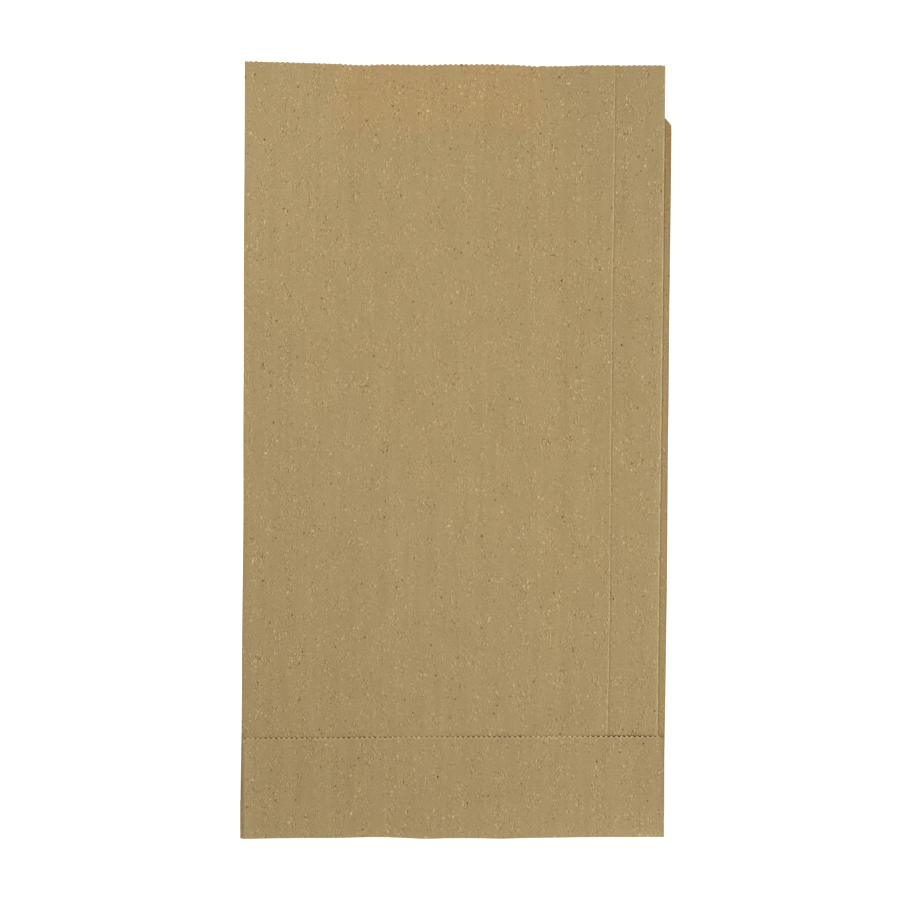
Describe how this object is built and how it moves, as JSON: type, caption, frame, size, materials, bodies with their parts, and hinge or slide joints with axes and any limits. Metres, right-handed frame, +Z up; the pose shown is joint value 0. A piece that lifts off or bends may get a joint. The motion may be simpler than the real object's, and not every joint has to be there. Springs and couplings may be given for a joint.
{
  "type": "paper lunch bag",
  "caption": "Brown kraft paper lunch bag lying flat: gusseted tube with a lapped and glued front seam, saw-tooth mouth and a turned-up, glued bottom.",
  "frame": {"origin": "under the middle of the flat bag, on the surface that it lies on", "axes": "+X across the bag, from the plain side to the seam side; +Y along the bag towards its mouth; +Z up from the surface that it lies on, out of the seamed front"},
  "size_m": [0.1564, 0.2824, 0.0019],
  "materials": {
    "kraft_paper": "unbleached kraft, matt, with fine lengthwise fibres and small specks"
  },
  "bodies": {
    "root": {"paper_bag": "kraft_paper"}
  },
  "joints": []
}
